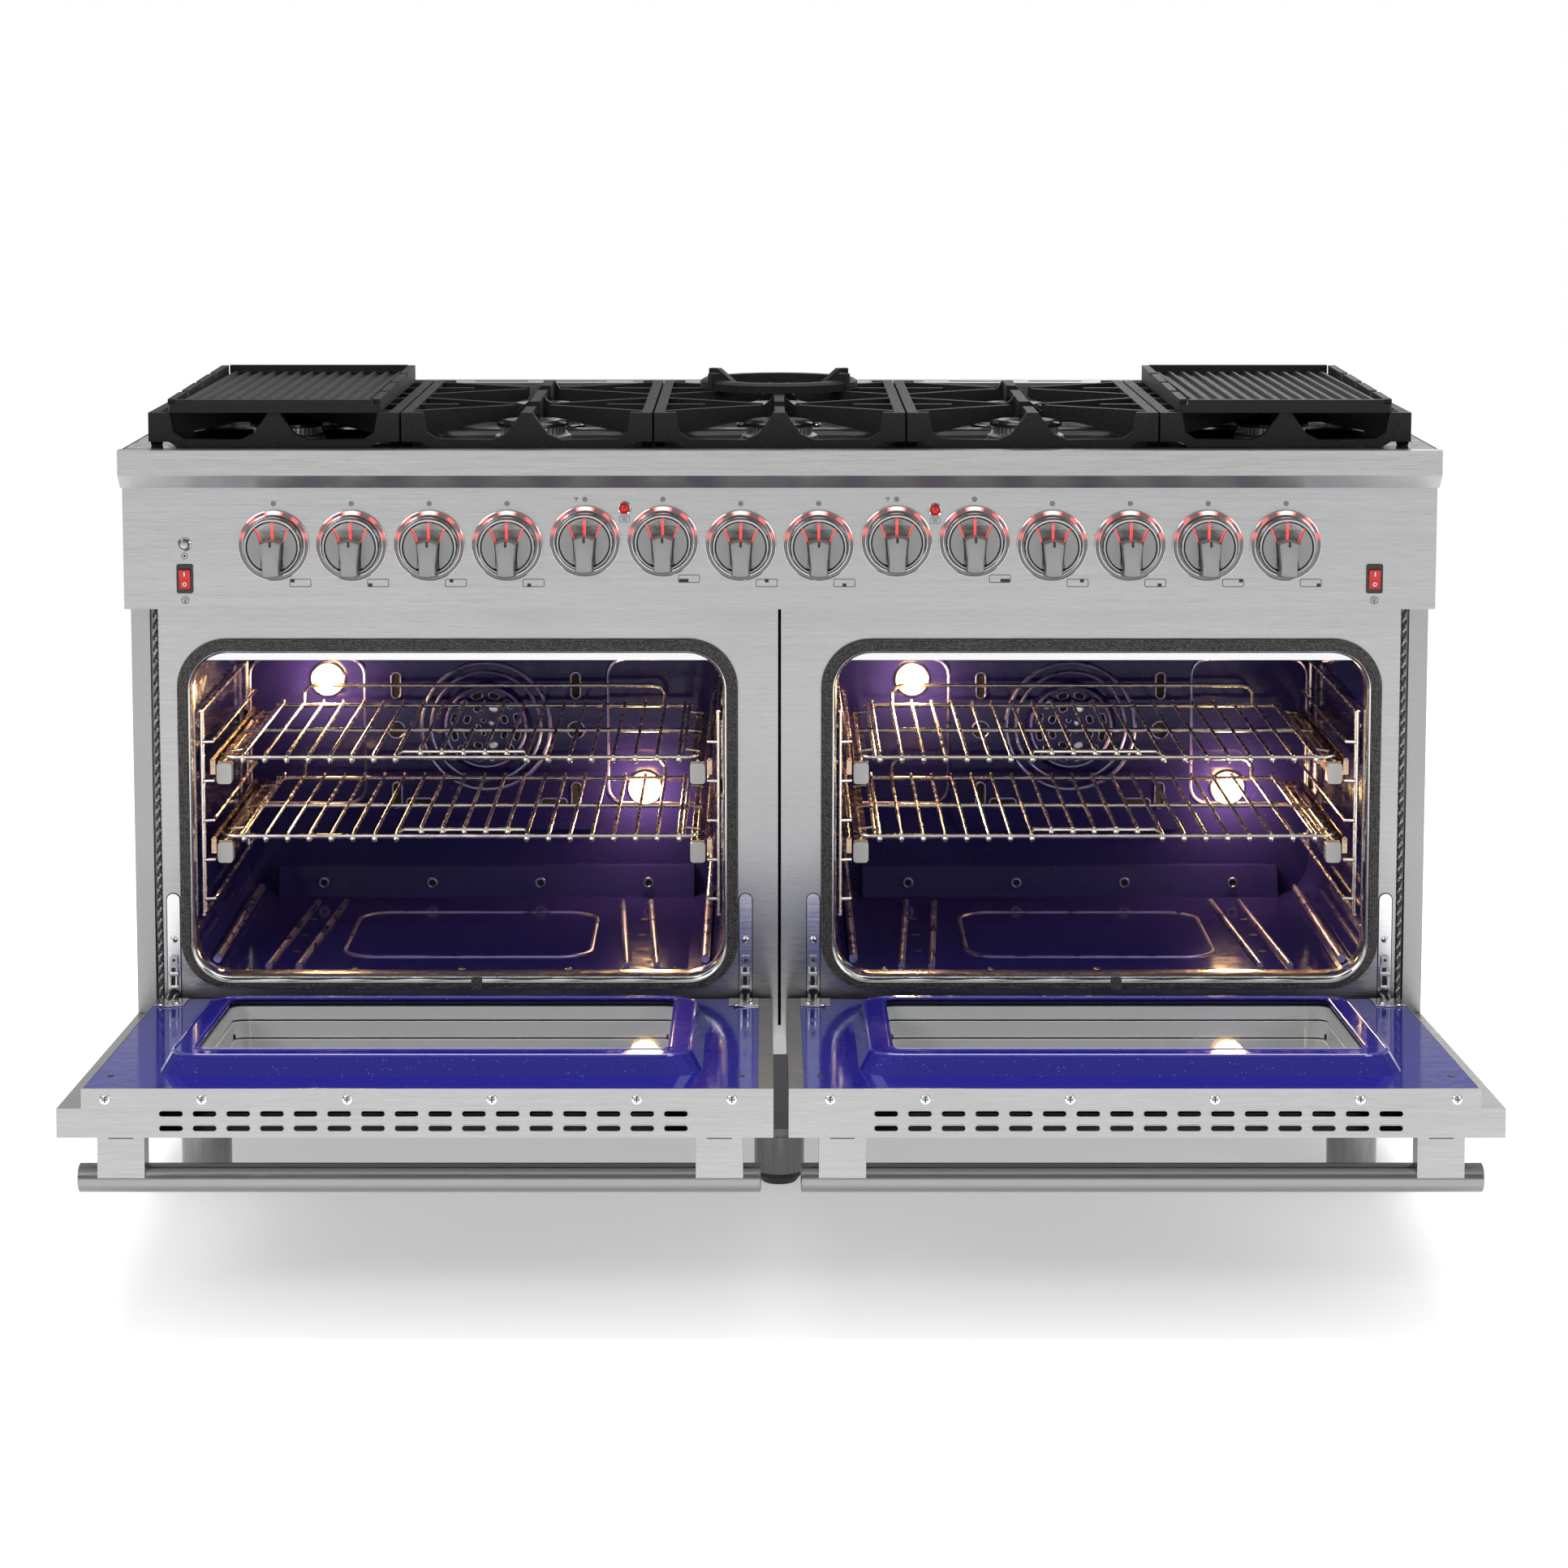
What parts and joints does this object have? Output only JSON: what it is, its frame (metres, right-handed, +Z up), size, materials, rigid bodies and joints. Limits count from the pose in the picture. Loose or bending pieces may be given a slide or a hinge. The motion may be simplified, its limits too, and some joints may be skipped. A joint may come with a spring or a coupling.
{
  "type": "freestanding gas range",
  "caption": "Wide freestanding double-oven gas range with drop-down doors, sliding racks, cast grates, griddles, a wok ring and turning knobs.",
  "frame": {"origin": "on the floor under the middle of the front centre foot, 60 mm behind the body's front plane", "axes": "+Z up, the front faces -Y, +X to the right as the cook sees it"},
  "size_m": [1.52, 1.1533, 0.9583],
  "materials": {
    "stainless": "horizontally brushed",
    "leg_steel": "vertically brushed tube",
    "dark_steel": "dark satin paint",
    "blue_enamel": "glossy blue enamel with pale specks",
    "braid": "braided glass fibre",
    "black_enamel": "glossy black enamel",
    "cast_iron": "matte black, as cast",
    "burner_metal": "black caps on bright burner heads",
    "zinc": "satin brushed",
    "glass": "clear tempered",
    "chrome": "bright plated wire",
    "red_plastic": "glossy translucent"
  },
  "bodies": {
    "range": {"base_frame": "dark_steel", "leg_front_left": "leg_steel", "leg_front_centre": "leg_steel", "leg_front_right": "leg_steel", "leg_rear_left": "leg_steel", "leg_rear_centre": "leg_steel", "leg_rear_right": "leg_steel", "side_panel_left": "stainless", "side_panel_right": "stainless", "back_panel": "stainless", "oven_front_frame": "stainless", "oven_liner_left": "blue_enamel", "oven_liner_right": "blue_enamel", "door_gasket_left": "braid", "door_gasket_right": "braid", "control_panel": "stainless", "front_trim": "stainless", "cooktop_deck": "black_enamel", "burner_pair_1": "burner_metal", "grate_1": "cast_iron", "burner_pair_2": "burner_metal", "grate_2": "cast_iron", "burner_pair_3": "burner_metal", "grate_3": "cast_iron", "burner_pair_4": "burner_metal", "grate_4": "cast_iron", "burner_pair_5": "burner_metal", "grate_5": "cast_iron", "griddle_left": "cast_iron", "griddle_right": "cast_iron", "wok_ring": "cast_iron"},
    "knob_1": {"knob_1": "zinc"},
    "knob_2": {"knob_2": "zinc"},
    "knob_3": {"knob_3": "zinc"},
    "knob_4": {"knob_4": "zinc"},
    "knob_5": {"knob_5": "zinc"},
    "knob_6": {"knob_6": "zinc"},
    "knob_7": {"knob_7": "zinc"},
    "knob_8": {"knob_8": "zinc"},
    "knob_9": {"knob_9": "zinc"},
    "knob_10": {"knob_10": "zinc"},
    "knob_11": {"knob_11": "zinc"},
    "knob_12": {"knob_12": "zinc"},
    "knob_13": {"knob_13": "zinc"},
    "knob_14": {"knob_14": "zinc"},
    "door_left": {"door_shell_left": "stainless", "door_liner_left": "blue_enamel", "door_window_left": "glass", "door_handle_left": "stainless"},
    "rack_left_upper": {"rack_left_upper": "chrome"},
    "rack_left_lower": {"rack_left_lower": "chrome"},
    "rocker_left": {"rocker_left": "red_plastic"},
    "door_right": {"door_shell_right": "stainless", "door_liner_right": "blue_enamel", "door_window_right": "glass", "door_handle_right": "stainless"},
    "rack_right_upper": {"rack_right_upper": "chrome"},
    "rack_right_lower": {"rack_right_lower": "chrome"},
    "rocker_right": {"rocker_right": "red_plastic"},
    "push_button": {"push_button": "chrome"}
  },
  "joints": [
    {"name": "knob_1_turn", "type": "hinge", "parent": "range", "child": "knob_1", "pos_m": [-0.58532, -0.106, 0.784], "axis": [0, -1, 0], "range_deg": [0, 210]},
    {"name": "knob_2_turn", "type": "hinge", "parent": "range", "child": "knob_2", "pos_m": [-0.49528, -0.106, 0.784], "axis": [0, -1, 0], "range_deg": [0, 210]},
    {"name": "knob_3_turn", "type": "hinge", "parent": "range", "child": "knob_3", "pos_m": [-0.40523, -0.106, 0.784], "axis": [0, -1, 0], "range_deg": [0, 210]},
    {"name": "knob_4_turn", "type": "hinge", "parent": "range", "child": "knob_4", "pos_m": [-0.31517, -0.106, 0.784], "axis": [0, -1, 0], "range_deg": [0, 210]},
    {"name": "knob_5_turn", "type": "hinge", "parent": "range", "child": "knob_5", "pos_m": [-0.22512, -0.106, 0.789], "axis": [0, -1, 0], "range_deg": [0, 300]},
    {"name": "knob_6_turn", "type": "hinge", "parent": "range", "child": "knob_6", "pos_m": [-0.13508, -0.106, 0.789], "axis": [0, -1, 0], "range_deg": [0, 210]},
    {"name": "knob_7_turn", "type": "hinge", "parent": "range", "child": "knob_7", "pos_m": [-0.04503, -0.106, 0.784], "axis": [0, -1, 0], "range_deg": [0, 210]},
    {"name": "knob_8_turn", "type": "hinge", "parent": "range", "child": "knob_8", "pos_m": [0.04503, -0.106, 0.784], "axis": [0, -1, 0], "range_deg": [0, 210]},
    {"name": "knob_9_turn", "type": "hinge", "parent": "range", "child": "knob_9", "pos_m": [0.13508, -0.106, 0.789], "axis": [0, -1, 0], "range_deg": [0, 300]},
    {"name": "knob_10_turn", "type": "hinge", "parent": "range", "child": "knob_10", "pos_m": [0.22512, -0.106, 0.789], "axis": [0, -1, 0], "range_deg": [0, 210]},
    {"name": "knob_11_turn", "type": "hinge", "parent": "range", "child": "knob_11", "pos_m": [0.31517, -0.106, 0.784], "axis": [0, -1, 0], "range_deg": [0, 210]},
    {"name": "knob_12_turn", "type": "hinge", "parent": "range", "child": "knob_12", "pos_m": [0.40523, -0.106, 0.784], "axis": [0, -1, 0], "range_deg": [0, 210]},
    {"name": "knob_13_turn", "type": "hinge", "parent": "range", "child": "knob_13", "pos_m": [0.49528, -0.106, 0.784], "axis": [0, -1, 0], "range_deg": [0, 210]},
    {"name": "knob_14_turn", "type": "hinge", "parent": "range", "child": "knob_14", "pos_m": [0.58532, -0.106, 0.784], "axis": [0, -1, 0], "range_deg": [0, 210]},
    {"name": "door_left_close", "type": "hinge", "parent": "range", "child": "door_left", "pos_m": [0, -0.101, 0.21], "axis": [-1, 0, 0], "range_deg": [0, 87]},
    {"name": "rack_left_upper_slide", "type": "slide", "parent": "range", "child": "rack_left_upper", "axis": [0, 1, 0], "range_m": [-0.32, 0]},
    {"name": "rack_left_lower_slide", "type": "slide", "parent": "range", "child": "rack_left_lower", "axis": [0, 1, 0], "range_m": [-0.32, 0]},
    {"name": "rocker_left_rock", "type": "hinge", "parent": "range", "child": "rocker_left", "pos_m": [-0.689, -0.106, 0.745], "axis": [-1, 0, 0], "range_deg": [0, 14]},
    {"name": "door_right_close", "type": "hinge", "parent": "range", "child": "door_right", "pos_m": [0, -0.101, 0.21], "axis": [-1, 0, 0], "range_deg": [0, 87]},
    {"name": "rack_right_upper_slide", "type": "slide", "parent": "range", "child": "rack_right_upper", "axis": [0, 1, 0], "range_m": [-0.32, 0]},
    {"name": "rack_right_lower_slide", "type": "slide", "parent": "range", "child": "rack_right_lower", "axis": [0, 1, 0], "range_m": [-0.32, 0]},
    {"name": "rocker_right_rock", "type": "hinge", "parent": "range", "child": "rocker_right", "pos_m": [0.689, -0.106, 0.745], "axis": [-1, 0, 0], "range_deg": [0, 14]},
    {"name": "push_button_press", "type": "slide", "parent": "range", "child": "push_button", "axis": [0, 1, 0], "range_m": [0, 0.003], "stiffness_N_per_m": 200}
  ]
}
